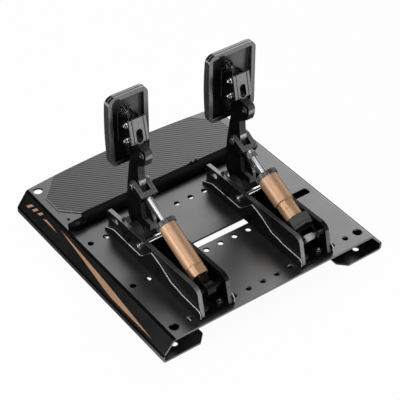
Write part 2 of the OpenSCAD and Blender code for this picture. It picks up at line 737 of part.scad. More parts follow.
// Left damper tube: a narrower neck with wrench flats, then the wide barrel
module brake_tube() {
    start = brake_tube_start;
    flats = start + 14.5;
    step = start + 27.5;
    r = brake_tube_r;
    neck_r = r - 2.25;
    color(copper) on_damper() difference() {
        union() {
            translate([0, 0, step]) cylinder(h = tube_end - step, r = r);
            translate([0, 0, step - 1.5]) cylinder(h = 1.5, r1 = neck_r, r2 = r);
            translate([0, 0, start]) cylinder(h = step - 1.5 - start, r = neck_r);
        }
        translate([0, 0, start + tube_floor]) cylinder(h = tube_end, r = neck_r - tube_wall);
        translate([0, 0, step + 1.5]) cylinder(h = tube_end, r = r - tube_wall);
        for (s = [0:3]) rotate([0, 0, 90 * s])
            translate([-20, neck_r - 0.9, flats]) cube([40, 0.9 + 0.2, step - 1.5 - flats]);
        translate([0, 0, flats - 0.8]) rotate_extrude()
            translate([neck_r - 0.5, 0]) square([2, 0.8]);
    }
}

// Return spring, swept round the rod's axis from the tube's floor to the piston
spring_r = 8.2;
wire_r = 1.2;
spring_sides = 6;
spring_steps = 16;
spring_low = throttle_tube_start + tube_floor + wire_r + 0.2;
spring_high = piston_top - piston_t - wire_r - 0.2;
function spring_point(i, k) =
    let (turn = i / spring_steps, a = 360 * turn, b = 360 * k / spring_sides,
         rise = (spring_high - spring_low) * i / (spring_steps * spring_turns))
    [(spring_r + wire_r * cos(b)) * cos(a), (spring_r + wire_r * cos(b)) * sin(a),
     spring_low + rise + wire_r * sin(b)];
module throttle_spring() {
    rings = spring_steps * spring_turns;
    n = spring_sides;
    points = [for (i = [0:rings], k = [0:n - 1]) spring_point(i, k)];
    sides = [for (i = [0:rings - 1], k = [0:n - 1], half = [0, 1])
        half == 0 ? [i * n + k, (i + 1) * n + k, i * n + (k + 1) % n]
                  : [(i + 1) * n + k, (i + 1) * n + (k + 1) % n, i * n + (k + 1) % n]];
    start_cap = [[for (k = [0:n - 1]) k]];
    end_cap = [[for (k = [0:n - 1]) rings * n + n - 1 - k]];
    color(steel) on_damper()
        polyhedron(points, concat(sides, start_cap, end_cap), convexity = 10);
}

module throttle_jam_nut() {
    color(plate_black) on_damper() difference() {
        translate([0, 0, 10.5]) cylinder(h = throttle_tube_start - 10.5, r = 10.5, $fn = 6);
        cylinder(h = 30, r = 4);
    }
}

// Rod end: an eye on the lower pin with a threaded shank in the tube
module throttle_rod_end() {
    color(plate_black) on_damper() difference() {
        union() {
            x_bar(-7, 7, 9.5);
            translate([-6, -6, 0]) cube([12, 12, 10.5]);
            translate([0, 0, 5]) cylinder(h = throttle_tube_start + tube_floor - 5.2, r = 4);
        }
        x_bar(-8, 8, anchor_r + run_gap);
    }
}

module brake_elastomers() {
    floor_s = brake_tube_start + tube_floor + 0.2;
    stack = piston_top - piston_t - 0.2 - floor_s;
    color(rubber) on_damper() for (k = [0:2])
        translate([0, 0, floor_s + k * stack / 3]) difference() {
            cylinder(h = stack / 3 - 0.2, r = brake_tube_r - 2.25 - tube_wall - 0.4);
            translate([0, 0, -1]) cylinder(h = stack, r = 4);
        }
}

// Load cell: a six-sided body with a short neck towards the tube
cell_start = 16;
cell_end = brake_tube_start - 1.5;
module brake_load_cell() {
    color(steel) on_damper() difference() {
        union() {
            translate([0, 0, cell_start]) rotate([0, 0, 30])
                cylinder(h = cell_end - cell_start, r = 19, $fn = 6);
            translate([0, 0, cell_end - eps]) cylinder(h = 1.5 + eps, r = 8);
        }
        translate([0, 0, cell_start - 1]) cylinder(h = 5, r = 5);
        translate([0, 0, cell_start + 3.5]) rotate([0, 0, 30]) difference() {
            cylinder(h = 0.8, r = 21, $fn = 6);
            translate([0, 0, -1]) cylinder(h = 3, r = 18.3, $fn = 6);
        }
    }
}

module brake_end_fork() {
    leg_in = 10.5;
    leg_out = 13.7;
    color(plate_black) on_damper() difference() {
        union() {
            for (s = [-1, 1]) {
                x_bar(s > 0 ? leg_in : -leg_out, s > 0 ? leg_out : -leg_in, 8);
                translate([s > 0 ? leg_in : -leg_out, -8, 0]) cube([leg_out - leg_in, 16, cell_start]);
            }
            translate([-leg_out, -8, cell_start - 4]) cube([2 * leg_out, 16, 4]);
            translate([0, 0, cell_start - 1]) cylinder(h = 4.8, r = 5);
        }
        x_bar(-leg_out - 1, leg_out + 1, anchor_r + run_gap);
    }
}

// Lock nut with a sleeve up to the clevis
module brake_rod_nut() {
    color(chrome) on_damper() translate([0, 0, web_far - 11]) difference() {
        union() {
            cylinder(h = 6, r = 8, $fn = 6);
            translate([0, 0, 6 - eps]) cylinder(h = 5 + eps, r = brake_rod_r + 1);
        }
        translate([0, 0, -1]) cylinder(h = 13, r = brake_rod_r);
    }
}

base_plate();
heel_panel();
heel_bar();
heel_bar_screws();
control_board();
channel_bolts();
channel_nuts();

at_pedal(throttle_x) channel();  // throttle_channel
at_pedal(throttle_x) side_plate(1);  // throttle_plate_right
at_pedal(throttle_x) difference() {  // throttle_plate_left
        side_plate(-1);
        sensor_pocket();
    }
at_pedal(throttle_x) pivot_shaft();  // throttle_pivot_shaft
at_pedal(throttle_x) pivot_keepers();  // throttle_pivot_keepers
at_pedal(throttle_x) stop_bar();  // throttle_stop_bar
at_pedal(throttle_x) stop_screws();  // throttle_stop_screws
at_pedal(throttle_x) lower_pin();  // throttle_lower_pin
at_pedal(throttle_x) color(rubber)  // throttle_sensor
        x_bar(-plate_in - sensor_t, -plate_in, sensor_r, pivot_row - sensor_dy, pivot_h);
at_pedal(throttle_x) difference() {  // throttle_arm
        arm();
        x_bar(-hub_w / 2 - 1, -hub_w / 2 + 4, 2.5, pivot_row - sensor_dy, pivot_h);
    }
at_pedal(throttle_x) bushings();  // throttle_bushings
at_pedal(throttle_x) color(chrome)  // throttle_magnet
        x_bar(-hub_w / 2, -hub_w / 2 + 4, 2.5, pivot_row - sensor_dy, pivot_h);
at_pedal(throttle_x) clevis_pin();  // throttle_clevis_pin
at_pedal(throttle_x) pad_bracket();  // throttle_pad_bracket
at_pedal(throttle_x) pad_bolts();  // throttle_pad_bolts
at_pedal(throttle_x) pad(throttle_pad_w);  // throttle_pad
at_pedal(throttle_x) pad_screws();  // throttle_pad_screws
at_pedal(throttle_x) clevis(throttle_rod_r);  // throttle_clevis
at_pedal(throttle_x) rod(throttle_rod_r);  // throttle_rod
at_pedal(throttle_x) piston(throttle_tube_r, throttle_rod_r);  // throttle_piston
at_pedal(throttle_x) throttle_tube();
at_pedal(throttle_x) collar(throttle_tube_r, throttle_rod_r);  // throttle_collar
at_pedal(throttle_x) throttle_spring();
at_pedal(throttle_x) throttle_jam_nut();
at_pedal(throttle_x) throttle_rod_end();

at_pedal(brake_x) channel();  // brake_channel
at_pedal(brake_x) side_plate(1);  // brake_plate_right
at_pedal(brake_x) side_plate(-1);  // brake_plate_left
at_pedal(brake_x) pivot_shaft();  // brake_pivot_shaft
at_pedal(brake_x) pivot_keepers();  // brake_pivot_keepers
at_pedal(brake_x) stop_bar();  // brake_stop_bar
at_pedal(brake_x) stop_screws();  // brake_stop_screws
at_pedal(brake_x) lower_pin();  // brake_lower_pin
at_pedal(brake_x) arm();  // brake_arm
at_pedal(brake_x) bushings();  // brake_bushings
at_pedal(brake_x) clevis_pin();  // brake_clevis_pin
at_pedal(brake_x) pad_bracket();  // brake_pad_bracket
at_pedal(brake_x) pad_bolts();  // brake_pad_bolts
at_pedal(brake_x) pad(brake_pad_w);  // brake_pad
at_pedal(brake_x) pad_screws();  // brake_pad_screws
at_pedal(brake_x) clevis(brake_rod_r);  // brake_clevis
at_pedal(brake_x) rod(brake_rod_r);  // brake_rod
at_pedal(brake_x) brake_rod_nut();
at_pedal(brake_x) piston(brake_tube_r, brake_rod_r);  // brake_piston
at_pedal(brake_x) brake_tube();
at_pedal(brake_x) collar(brake_tube_r, brake_rod_r);  // brake_collar
at_pedal(brake_x) brake_elastomers();
at_pedal(brake_x) brake_load_cell();
at_pedal(brake_x) brake_end_fork();
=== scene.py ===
import functools
import json
import math

import bmesh
import bpy
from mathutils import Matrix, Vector


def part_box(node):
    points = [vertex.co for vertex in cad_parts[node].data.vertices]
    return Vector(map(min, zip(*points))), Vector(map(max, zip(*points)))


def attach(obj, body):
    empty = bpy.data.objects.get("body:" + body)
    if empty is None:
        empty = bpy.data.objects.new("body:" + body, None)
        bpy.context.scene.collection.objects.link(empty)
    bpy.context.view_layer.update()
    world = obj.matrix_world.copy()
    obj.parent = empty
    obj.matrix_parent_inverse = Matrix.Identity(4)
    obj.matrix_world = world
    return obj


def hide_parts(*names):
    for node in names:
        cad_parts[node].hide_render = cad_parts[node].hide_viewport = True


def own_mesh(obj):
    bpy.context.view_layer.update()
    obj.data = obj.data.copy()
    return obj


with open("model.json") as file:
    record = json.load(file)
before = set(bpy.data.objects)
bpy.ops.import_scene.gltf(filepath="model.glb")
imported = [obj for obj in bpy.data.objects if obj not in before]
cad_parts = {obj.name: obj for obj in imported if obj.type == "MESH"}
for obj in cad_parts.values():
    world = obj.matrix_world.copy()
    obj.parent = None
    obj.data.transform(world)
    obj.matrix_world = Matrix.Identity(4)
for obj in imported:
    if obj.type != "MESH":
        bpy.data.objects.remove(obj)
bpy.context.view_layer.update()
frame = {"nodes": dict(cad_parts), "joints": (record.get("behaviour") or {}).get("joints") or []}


def mm(*values):
    """Lengths in millimetres, as metres."""
    return tuple(v / 1000.0 for v in values)


def beside(place, *offsets):
    """Places at offsets in millimetres from a place in metres."""
    return tuple(place + offset for offset in mm(*offsets))


# Places that the frame gives, in metres: X to the driver's right, Y ahead of the driver, Z up
PIVOTS = {joint["name"]: Vector(joint["pos_m"]) for joint in frame["joints"]}
THROTTLE_X = PIVOTS["throttle_press"].x
BRAKE_X = PIVOTS["brake_press"].x
SIDE_X, FRONT_Y, DECK_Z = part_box("base_plate")[1]
PANEL_SIDE, PANEL_FRONT, PANEL_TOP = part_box("heel_panel")[1]
BAR_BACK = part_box("heel_bar")[0].y
PLATE_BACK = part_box("throttle_plate_right")[0].y
PLATE_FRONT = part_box("throttle_plate_right")[1].y
CHANNEL_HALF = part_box("throttle_channel")[1].x - THROTTLE_X
PAD_SIDE, PAD_BACK, PAD_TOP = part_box("throttle_pad")[1]
BRAKE_PAD_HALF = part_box("brake_pad")[1].x - BRAKE_X
# Both dampers lean the same way at rest, from the lower pin up to the clevis pin
# The side walls slope from a fold at the deck's side down to the foot
FOLD_X, FOOT_Z = mm(175.0, 13.0)


def place_camera():
    """The photograph's camera, by its turn about Z, its rise and its distance from a target."""
    turn, rise = math.radians(143.886), math.radians(40.214)
    distance = 2.0991
    target = Vector(mm(-21.2, -15.32, 35.0))
    data = bpy.data.cameras.new("camera")
    data.sensor_fit = "HORIZONTAL"
    data.sensor_width = 36.0
    data.lens = 127.5
    data.clip_start = 0.05
    data.clip_end = 50.0
    camera = bpy.data.objects.new("camera", data)
    bpy.context.scene.collection.objects.link(camera)
    level = math.cos(rise)
    back = Vector((math.sin(turn) * level, -math.cos(turn) * level, math.sin(rise)))
    camera.location = target + back * distance
    camera.rotation_euler = (-back).to_track_quat("-Z", "Y").to_euler()
    bpy.context.scene.camera = camera
    bpy.context.scene.view_settings.view_transform = "Standard"


place_camera()


# Node trees
class Tree:
    """A short way to build a node tree. A mask is a number from 0 to 1."""

    def __init__(self, tree):
        self.tree = tree

    def put(self, socket, value):
        """Links an output to an input, or sets the input to a number, a vector or a colour."""
        if isinstance(value, bpy.types.NodeSocket):
            self.tree.links.new(value, socket)
        elif socket.type == "RGBA":
            socket.default_value = (*value, 1.0)
        else:
            socket.default_value = value

    def add(self, kind, inputs=(), **settings):
        """A new node, with its inputs given by name or number."""
        node = self.tree.nodes.new(kind)
        for name, value in settings.items():
            setattr(node, name, value)
        for key, value in dict(inputs).items():
            self.put(node.inputs[key], value)
        return node

    def math(self, operation, *values):
        return self.add("ShaderNodeMath", enumerate(values), operation=operation).outputs["Value"]

    def times(self, *masks):
        return functools.reduce(lambda a, b: self.math("MULTIPLY", a, b), masks)

    def most(self, *masks):
        return functools.reduce(lambda a, b: self.math("MAXIMUM", a, b), masks)

    def away(self, value, centre):
        """The distance of a value from a centre."""
        return self.math("ABSOLUTE", self.math("SUBTRACT", value, centre))

    def span(self, factor, low, high, start=0.0, end=1.0):
        """From low, where the factor is at start, to high, where it is at end."""
        inputs = {"Value": factor, "From Min": start, "From Max": end, "To Min": low, "To Max": high}
        return self.add("ShaderNodeMapRange", inputs, clamp=True).outputs["Result"]

    def rise(self, value, start, end):
        return self.span(value, 0.0, 1.0, start, end)

    def fall(self, value, start, end):
        return self.span(value, 1.0, 0.0, start, end)

    def band(self, value, rise, fall):
        """Full between two soft borders, each given as its start and end."""
        return self.times(self.rise(value, *rise), self.fall(value, *fall))

    def mix(self, factor, a, b, data_type="RGBA"):
        """Between two colours, or two numbers where the data type is FLOAT."""
        node = self.add("ShaderNodeMix", {0: factor}, data_type=data_type)
        kind = "VALUE" if data_type == "FLOAT" else data_type
        for name, value in (("A", a), ("B", b)):
            self.put(next(s for s in node.inputs if s.name == name and s.type == kind), value)
        return next(s for s in node.outputs if s.type == kind)

    def blend(self, factor, a, b):
        """Between the shaders of two nodes."""
        inputs = {0: factor, 1: a.outputs[0], 2: b.outputs[0]}
        return self.add("ShaderNodeMixShader", inputs).outputs[0]

    def ramp(self, factor, *stops):
        """A colour ramp with two stops, each a position and a colour."""
        node = self.add("ShaderNodeValToRGB", {"Fac": factor})
        for element, (position, colour) in zip(node.color_ramp.elements, stops):
            element.position = position
            element.color = (*colour, 1.0)
        return node.outputs["Color"]


class Material(Tree):
    """A material, with its masks in the coordinates of the piece that wears it."""

    def __init__(self, name):
        self.mat = bpy.data.materials.new(name)
        self.mat.use_nodes = True
        super().__init__(self.mat.node_tree)
        self.bsdf = next(n for n in self.tree.nodes if n.type == "BSDF_PRINCIPLED")

    def give(self, name, value):
        self.put(self.bsdf.inputs[name], value)

    def given(self, name):
        """The output that feeds an input of the surface so far."""
        return self.bsdf.inputs[name].links[0].from_socket

    def tint(self, mask, colour):
        """Turns the surface to another colour where the mask says."""
        self.give("Base Color", self.mix(mask, self.given("Base Color"), colour))

    def coords(self):
        return self.add("ShaderNodeTexCoord").outputs["Object"]

    def part(self, vector, axis):
        return self.add("ShaderNodeSeparateXYZ", {0: vector}).outputs[axis]

    def place(self, axis):
        return self.part(self.coords(), axis)

    def normal_part(self, axis):
        """The surface normal's part along an axis of the piece itself, whatever the pose."""
        return self.part(self.add("ShaderNodeTexCoord").outputs["Normal"], axis)

    def facing(self, axis, low, high):
        """How far the surface faces along an axis, either way."""
        return self.rise(self.math("ABSOLUTE", self.normal_part(axis)), low, high)

    def noise(self, scale, detail=3.0, vector=None):
        vector = self.coords() if vector is None else vector
        inputs = {"Scale": scale, "Detail": detail, "Vector": vector}
        return self.add("ShaderNodeTexNoise", inputs).outputs["Fac"]

    def bump(self, height, strength, distance, normal=None):
        inputs = {"Height": height, "Strength": strength, "Distance": distance}
        if normal is not None:
            inputs["Normal"] = normal
        return self.add("ShaderNodeBump", inputs).outputs["Normal"]

    def edge(self, radius):
        """A mask of the edges, where a rounded normal leaves the true one, and that normal."""
        rounded = self.add("ShaderNodeBevel", {"Radius": radius}, samples=6).outputs["Normal"]
        true = self.add("ShaderNodeNewGeometry").outputs["Normal"]
        agreement = self.add("ShaderNodeVectorMath", {0: rounded, 1: true}, operation="DOT_PRODUCT")
        leaving = self.math("SUBTRACT", 1.0, agreement.outputs["Value"])
        return self.rise(leaving, 0.03, 0.22), rounded


# Kinds of surface
def shades(colour, vary):
    """A darker and a lighter shade of a colour."""
    return tuple(c * (1 - vary) for c in colour), tuple(min(1.0, c * (1 + vary)) for c in colour)


def coated(name, colour, rough=0.4, vary=0.25, edge_colour=(0.3, 0.3, 0.3), edge=0.0,
           edge_radius=0.0008, grain=900.0, bump=0.10, gloss=0.5, ior=1.5):
    """Painted or powder-coated metal, or moulded plastic, with edges paled partly by wear and partly by
    painted highlights.
    """
    m = Material(name)
    cloud = m.noise(scale=28.0, detail=4.0)
    dark, light = shades(colour, vary)
    base = m.ramp(cloud, (0.35, dark), (0.65, light))
    normal = None
    # Paler edges: partly wear, partly painted highlights
    if edge > 0:
        wear_and_glint, normal = m.edge(edge_radius)
        patches = m.span(m.noise(scale=160.0), 0.55, 1.0, 0.3, 0.6)
        base = m.mix(m.times(wear_and_glint, patches, edge), base, edge_colour)
    m.give("Base Color", base)
    m.give("Roughness", m.span(cloud, rough * 0.9, rough * 1.1, 0.3, 0.7))
    m.give("Specular IOR Level", gloss)
    m.give("IOR", ior)
    m.give("Normal", m.bump(m.noise(scale=grain, detail=2.0), bump, 0.0001, normal))
    return m


def metal(name, colour, rough, vary=0.08, brushed=None, bump=0.05, edge=0.0):
    """Bare, plated or anodised metal. brushed is how much finer its grain is along each axis."""
    m = Material(name)
    coords = m.coords()
    if brushed:
        coords = m.add("ShaderNodeMapping", {"Vector": coords, "Scale": brushed}).outputs["Vector"]
    grain = m.noise(scale=600.0, vector=coords)
    dark, light = shades(colour, vary)
    base = m.ramp(m.noise(scale=45.0), (0.3, dark), (0.7, light))
    normal = None
    # Paler edges: partly wear, partly painted highlights
    if edge > 0:
        wear_and_glint, normal = m.edge(0.0006)
        base = m.mix(m.times(wear_and_glint, edge), base, shades(colour, 0.6)[1])
    m.give("Base Color", base)
    m.give("Metallic", 1.0)
    m.give("Roughness", m.span(grain, rough * 0.8, rough * 1.25, 0.3, 0.7))
    m.give("Normal", m.bump(grain, bump, 0.00008, normal))
    return m


# The colour of every black coat, and the gloss of the shiniest ones
INK = (0.003, 0.003, 0.0032)
SHEEN = dict(gloss=0.8, ior=2.0)


def plate_stock(name, bare_and_lit_mask, bare_and_lit_colour, rough=0.30, cut_metal=1.0, gloss=0.5, edge=0.2,
                edge_colour=(0.10, 0.10, 0.10)):
    """Sheet or plate with a satin black coat, paler and more metallic where the mask says: partly bare
    cut faces, partly painted light.
    """
    cut_rough = 0.36
    m = coated(name, INK, rough=rough, vary=0.2, edge=edge, edge_colour=edge_colour,
               edge_radius=0.0007, bump=0.06, gloss=gloss)
    mask = bare_and_lit_mask(m)
    dark, light = shades(bare_and_lit_colour, 0.15)
    # The mask's pale colour is partly bare metal, partly painted light
    m.tint(mask, m.ramp(m.noise(scale=240.0), (0.3, dark), (0.7, light)))
    m.give("Metallic", m.times(mask, cut_metal))
    m.give("Roughness", m.math("MULTIPLY_ADD", mask, cut_rough - rough, m.given("Roughness")))
    return m


# Masks of the plates and pedals
def off_centre(m):
    """Distance across from the middle plane of the nearer pedal."""
    x = m.place("X")
    return m.math("MINIMUM", m.away(x, THROTTLE_X), m.away(x, BRAKE_X))


def not_sideways(m):
    return m.fall(m.facing("X", 0.5, 0.8), 0.0, 1.0)


def edges_shaded_below(m):
    """The edges of a plate that stands upright along Y, with painted shade on those that face down."""
    return m.times(not_sideways(m), m.rise(m.normal_part("Z"), -0.35, 0.0))


def fork_edges(m):
    return m.times(edges_shaded_below(m), 0.8)


def bare_ends_shaded_middle(m):
    """The edges of a side plate: bare at both ends, with painted shade darkening them along the middle.
    """
    y, dimmed = m.place("Y"), 0.12
    back = m.span(y, 1.0, dimmed, *beside(PLATE_BACK, 46.5, 54.5))
    front = m.rise(y, *beside(PLATE_FRONT, -22, -10))
    return m.times(m.most(back, front), not_sideways(m))


def bare_ends_shaded_tops(m):
    """As bare_ends_shaded_middle, with painted shade also on the edges that face up."""
    return m.times(m.fall(m.normal_part("Z"), 0.3, 0.6), bare_ends_shaded_middle(m))


def wall_top_glint(m):
    """Painted highlight along the outer corner of a channel's wall tops."""
    outer = m.rise(off_centre(m), *beside(CHANNEL_HALF, -1.4, -1.1))
    return m.times(outer, m.rise(m.place("Z"), *beside(DECK_Z, 3.2, 3.8)), edges_shaded_below(m))


def arm_lit_facets(m):
    """Painted light on the arm's edges, most where they face ahead: full at the knuckle, less at head
    and foot.
    """
    partly, dimmed = 0.6, 0.12
    ahead = m.span(m.normal_part("Y"), 0.25, 1.0, 0.2, 0.7)
    y, height = m.place("Y"), m.place("Z")
    head = m.band(height, mm(180, 186), mm(204, 208))
    foot = m.times(m.fall(height, *mm(95, 105)), m.rise(y, *mm(24, 28)))
    knuckle = m.band(height, mm(142.5, 143.5), mm(150.5, 151.5))
    # Painted light: full at the knuckle, dimmer at head and foot, dimmest elsewhere
    bare = m.most(m.times(head, partly), m.times(foot, partly), dimmed, knuckle)
    return m.times(ahead, bare, edges_shaded_below(m))


def lit_web_face(m):
    """Painted light on the slanted web of a pad bracket; its two engraved lines stay dark as painted
    shade.
    """
    line_place, line_start, line_end = mm(9.3, 0.6, 0.8)
    web = m.times(m.rise(m.normal_part("Y"), 0.93, 0.97), m.rise(m.normal_part("Z"), 0.10, 0.16))
    return m.times(web, m.span(m.away(off_centre(m), line_place), 0.0, 0.75, line_start, line_end))


# Surfaces of single parts
def base_plate_coat():
    """Satin black coat with a strong sheen on the deck."""
    m = coated("plate_coat", INK, rough=0.33, vary=0.2, edge=0.25, edge_colour=(0.10, 0.10, 0.10),
               edge_radius=0.0009, grain=1100.0, bump=0.05, **SHEEN)
    across, height = m.place("X"), m.place("Z")
    aside = m.math("ABSOLUTE", across)
    # The fold at the right and the crease at the foot of both walls are dark lines of painted shade
    fold = m.times(m.band(across, beside(FOLD_X, -2.8, -2.3), beside(FOLD_X, 1.2, 1.8)),
                   m.rise(height, *beside(DECK_Z, -2.8, -2.2)))
    crease = m.times(m.band(height, beside(FOOT_Z, -2.2, -1.6), beside(FOOT_Z, 1.5, 2.2)),
                     m.rise(aside, *beside(SIDE_X, -4.0, -3.5)))
    # The side walls shine less than the deck
    shine = m.span(m.facing("X", 0.3, 0.6), SHEEN["gloss"], 0.2)
    m.give("Specular IOR Level", m.times(shine, m.span(m.most(fold, crease), 1.0, 0.03)))
    # The walls' outermost lip is a little paler
    lip = m.times(m.rise(aside, *beside(SIDE_X, -0.6, -0.2)), m.fall(crease, 0.0, 1.0))
    m.tint(lip, (0.05, 0.05, 0.05))
    return m


def heel_weave():
    """Diagonal ribs of a carbon twill under a satin coat, with a painted highlight along the edge at
    the right end.
    """
    rib_pitch, tow_turn = 0.007, 3600.0
    m = Material("heel_weave")
    x, y = m.place("X"), m.place("Y")
    rib = m.math("FRACT", m.math("MULTIPLY", m.math("ADD", x, y), 1.0 / rib_pitch))
    groove = m.rise(m.away(rib, 0.5), 0.10, 0.26)
    tow = m.math("SINE", m.math("MULTIPLY", m.math("SUBTRACT", x, y), tow_turn))
    weave = m.ramp(groove, (0.0, (0.004, 0.004, 0.004)), (1.0, (0.012, 0.012, 0.012)))
    wear_and_glint, rounded = m.edge(0.0014)
    # Painted highlight on the edge at the right end
    bare = m.times(wear_and_glint, m.span(x, 0.0, 0.9, *beside(PANEL_SIDE, -34, -28)))
    m.give("Base Color", m.mix(bare, weave, (0.75, 0.75, 0.75)))
    m.give("Roughness", m.span(groove, 0.46, 0.34))
    m.give("Specular IOR Level", m.span(groove, 0.22, 0.55))
    m.give("IOR", 2.0)
    height = m.math("MULTIPLY_ADD", tow, 0.08, groove)
    m.give("Normal", m.bump(height, 0.25, 0.0003, rounded))
    return m


def pad_coat():
    """Glossy black, with painted highlights at the sides, and a hollow behind with painted shade low
    down and a painted reflection above on the throttle.
    """
    rough = 0.18
    m = coated("pad_coat", INK, rough=rough, edge=0.15, edge_colour=(0.10, 0.10, 0.10),
               edge_radius=0.0012, grain=1000.0, bump=0.08, **SHEEN)
    x = m.place("X")
    # Painted highlights on the sides: the throttle pad's right one and both of the brake pad's
    lit_flank = m.most(m.rise(x, *beside(PAD_SIDE, -2, -1)),
                   m.rise(off_centre(m), *beside(BRAKE_PAD_HALF, -1.5, -1)))
    m.tint(m.times(lit_flank, m.facing("X", 0.6, 0.9)), (0.05, 0.05, 0.05))
    hollow = m.times(m.rise(m.normal_part("Y"), 0.85, 0.92),
                     m.fall(m.place("Y"), *beside(PAD_BACK, -2.5, -2)))
    # Painted shade low in the hollow, which slants: it reaches higher on the right of each pad
    slant = -0.6
    pedal_x = m.span(x, BRAKE_X, THROTTLE_X, *mm(0, 1))
    height = m.math("MULTIPLY_ADD", m.math("SUBTRACT", x, pedal_x), slant, m.place("Z"))
    low = m.times(hollow, m.fall(height, *beside(PAD_TOP, -46, -20)))
    m.give("Specular IOR Level", m.span(low, SHEEN["gloss"], 0.04))
    m.give("Roughness", m.span(hollow, rough, 2 * rough))
    # Painted reflection: the upper part of the throttle's hollow is pale
    on_throttle = m.rise(x, *mm(0, 1))
    m.tint(m.times(m.math("SUBTRACT", hollow, low), on_throttle), (0.07, 0.07, 0.07))
    return m


def hard_chrome():
    m = metal("hard_chrome", (0.36, 0.36, 0.37), rough=0.16, vary=0.03, bump=0.02)
    m.give("Metallic", 0.6)
    return m


def copper_anodised():
    m = metal("copper_anodised", (0.50, 0.295, 0.165), rough=0.42, vary=0.04,
              brushed=(1.0, 6.0, 1.0), edge=0.25)
    m.give("Metallic", 0.4)
    m.give("Coat Weight", 0.35)
    m.give("Coat Roughness", 0.3)
    return m


# Looks of the CAD nodes
screw = metal("plated_screw", (0.42, 0.42, 0.43), rough=0.28, bump=0.08, edge=0.3)
dark_screw = metal("dark_screw", (0.025, 0.025, 0.026), rough=0.34, bump=0.08, edge=0.5)
bright = metal("bright_screw", (0.86, 0.86, 0.87), rough=0.16, bump=0.04, edge=0.2)
chrome = hard_chrome()
steel = metal("machined_steel", (0.45, 0.45, 0.46), rough=0.3, bump=0.08)
dull = coated("blackened_steel", (0.004, 0.004, 0.0042), rough=0.36, edge=0.3,
              edge_colour=(0.08, 0.08, 0.08), bump=0.12, gloss=0.22)
rubber = coated("moulded_rubber", (0.02, 0.02, 0.02), rough=0.7, bump=0.3, gloss=0.3)

PEDAL_LOOKS = {
    "channel": plate_stock("channel_coat", wall_top_glint, (0.80, 0.80, 0.80), cut_metal=0.0, gloss=0.25),
    # Painted highlights along the right plates' edges
    "plate_right": plate_stock("side_plate_lit_coat", bare_ends_shaded_middle, (0.26, 0.26, 0.265), gloss=0.25,
                               edge=0.8, edge_colour=(0.30, 0.30, 0.30)),
    # The left plates are a copy of the right ones, darkened by painted shade
    "plate_left": plate_stock("far_plate_shaded_coat", bare_ends_shaded_tops, (0.12, 0.12, 0.12), gloss=0.12),
    "pivot_shaft": metal("ground_steel", (0.30, 0.30, 0.31), rough=0.26, bump=0.06,
                         brushed=(1.0, 8.0, 8.0)),
    "pivot_keepers": dark_screw,
    "stop_bar": bright,
    "stop_screws": bright,
    # Painted light and painted highlights on the arm's edges
    "arm": plate_stock("arm_coat", arm_lit_facets, (0.60, 0.60, 0.60), cut_metal=0.6, gloss=0.12,
                       edge=0.6, edge_colour=(0.20, 0.20, 0.20)),
    "bushings": metal("sintered_bronze", (0.55, 0.38, 0.16), rough=0.4, bump=0.2),
    "clevis_pin": bright,
    # Painted highlights along every edge of the bracket
    "pad_bracket": plate_stock("bracket_coat", lit_web_face, (0.36, 0.36, 0.365), rough=0.26,
                               gloss=0.3, edge=1.0, edge_colour=(0.60, 0.60, 0.60)),
    "pad_bolts": bright,
    "pad": pad_coat(),
    "pad_screws": dark_screw,
    "clevis": plate_stock("clevis_coat", fork_edges, (0.34, 0.34, 0.343)),
    "rod": chrome,
    "piston": steel,
    "tube": copper_anodised(),
    # Painted highlights on every edge of the collar
    "collar": coated("black_anodised", (0.012, 0.012, 0.013), rough=0.28, bump=0.08, edge=1.0,
                     edge_colour=(0.70, 0.70, 0.70), edge_radius=0.0006),
}
OTHER_LOOKS = {
    "base_plate": base_plate_coat(),
    "heel_panel": heel_weave(),
    "heel_bar": coated("bar_plastic", (0.0015, 0.0015, 0.0016), rough=0.6, grain=700.0,
                       bump=0.2, gloss=0.06),
    "heel_bar_screws": dark_screw,
    "control_board": coated("board_mask", (0.02, 0.12, 0.05), rough=0.35),
    "channel_bolts": screw,
    "channel_nuts": screw,
    "throttle_lower_pin": dull,
    "throttle_sensor": rubber,
    "throttle_magnet": steel,
    "throttle_spring": steel,
    "throttle_jam_nut": dull,
    "throttle_rod_end": dull,
    "brake_lower_pin": bright,
    "brake_rod_nut": chrome,
    "brake_elastomers": rubber,
    "brake_load_cell": coated("cell_coat", (0.007, 0.007, 0.0073), rough=0.34, edge=0.3,
                              edge_colour=(0.25, 0.25, 0.25), bump=0.08, gloss=0.4),
    "brake_end_fork": dull,
}


def dress(node, m):
    """Gives a CAD node's object the finished material in every slot."""
    obj = frame["nodes"][node]
    if not obj.material_slots:
        obj.data.materials.append(m.mat)
    for slot in obj.material_slots:
        slot.material = m.mat


for pedal in ("throttle_", "brake_"):
    for piece, look in PEDAL_LOOKS.items():
        dress(pedal + piece, look)
for node, look in OTHER_LOOKS.items():
    dress(node, look)


# Pieces that the scene adds
def mesh_piece(name, verts, faces, m, body):
    """A new piece that rides a body, with the given material."""
    mesh = bpy.data.meshes.new(name)
    mesh.from_pydata(verts, [], faces)
    mesh.update()
    obj = bpy.data.objects.new(name, mesh)
    bpy.context.scene.collection.objects.link(obj)
    mesh.materials.append(m.mat)
    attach(obj, body)
    return obj


def block(name, low, high, m):
    """A plain box on the base, between two corners."""
    verts = [(x, y, z) for x in (low[0], high[0]) for y in (low[1], high[1]) for z in (low[2], high[2])]
    faces = [(0, 1, 3, 2), (4, 6, 7, 5), (0, 4, 5, 1), (2, 3, 7, 6), (0, 2, 6, 4), (1, 5, 7, 3)]
    mesh_piece(name, verts, faces, m, "base")


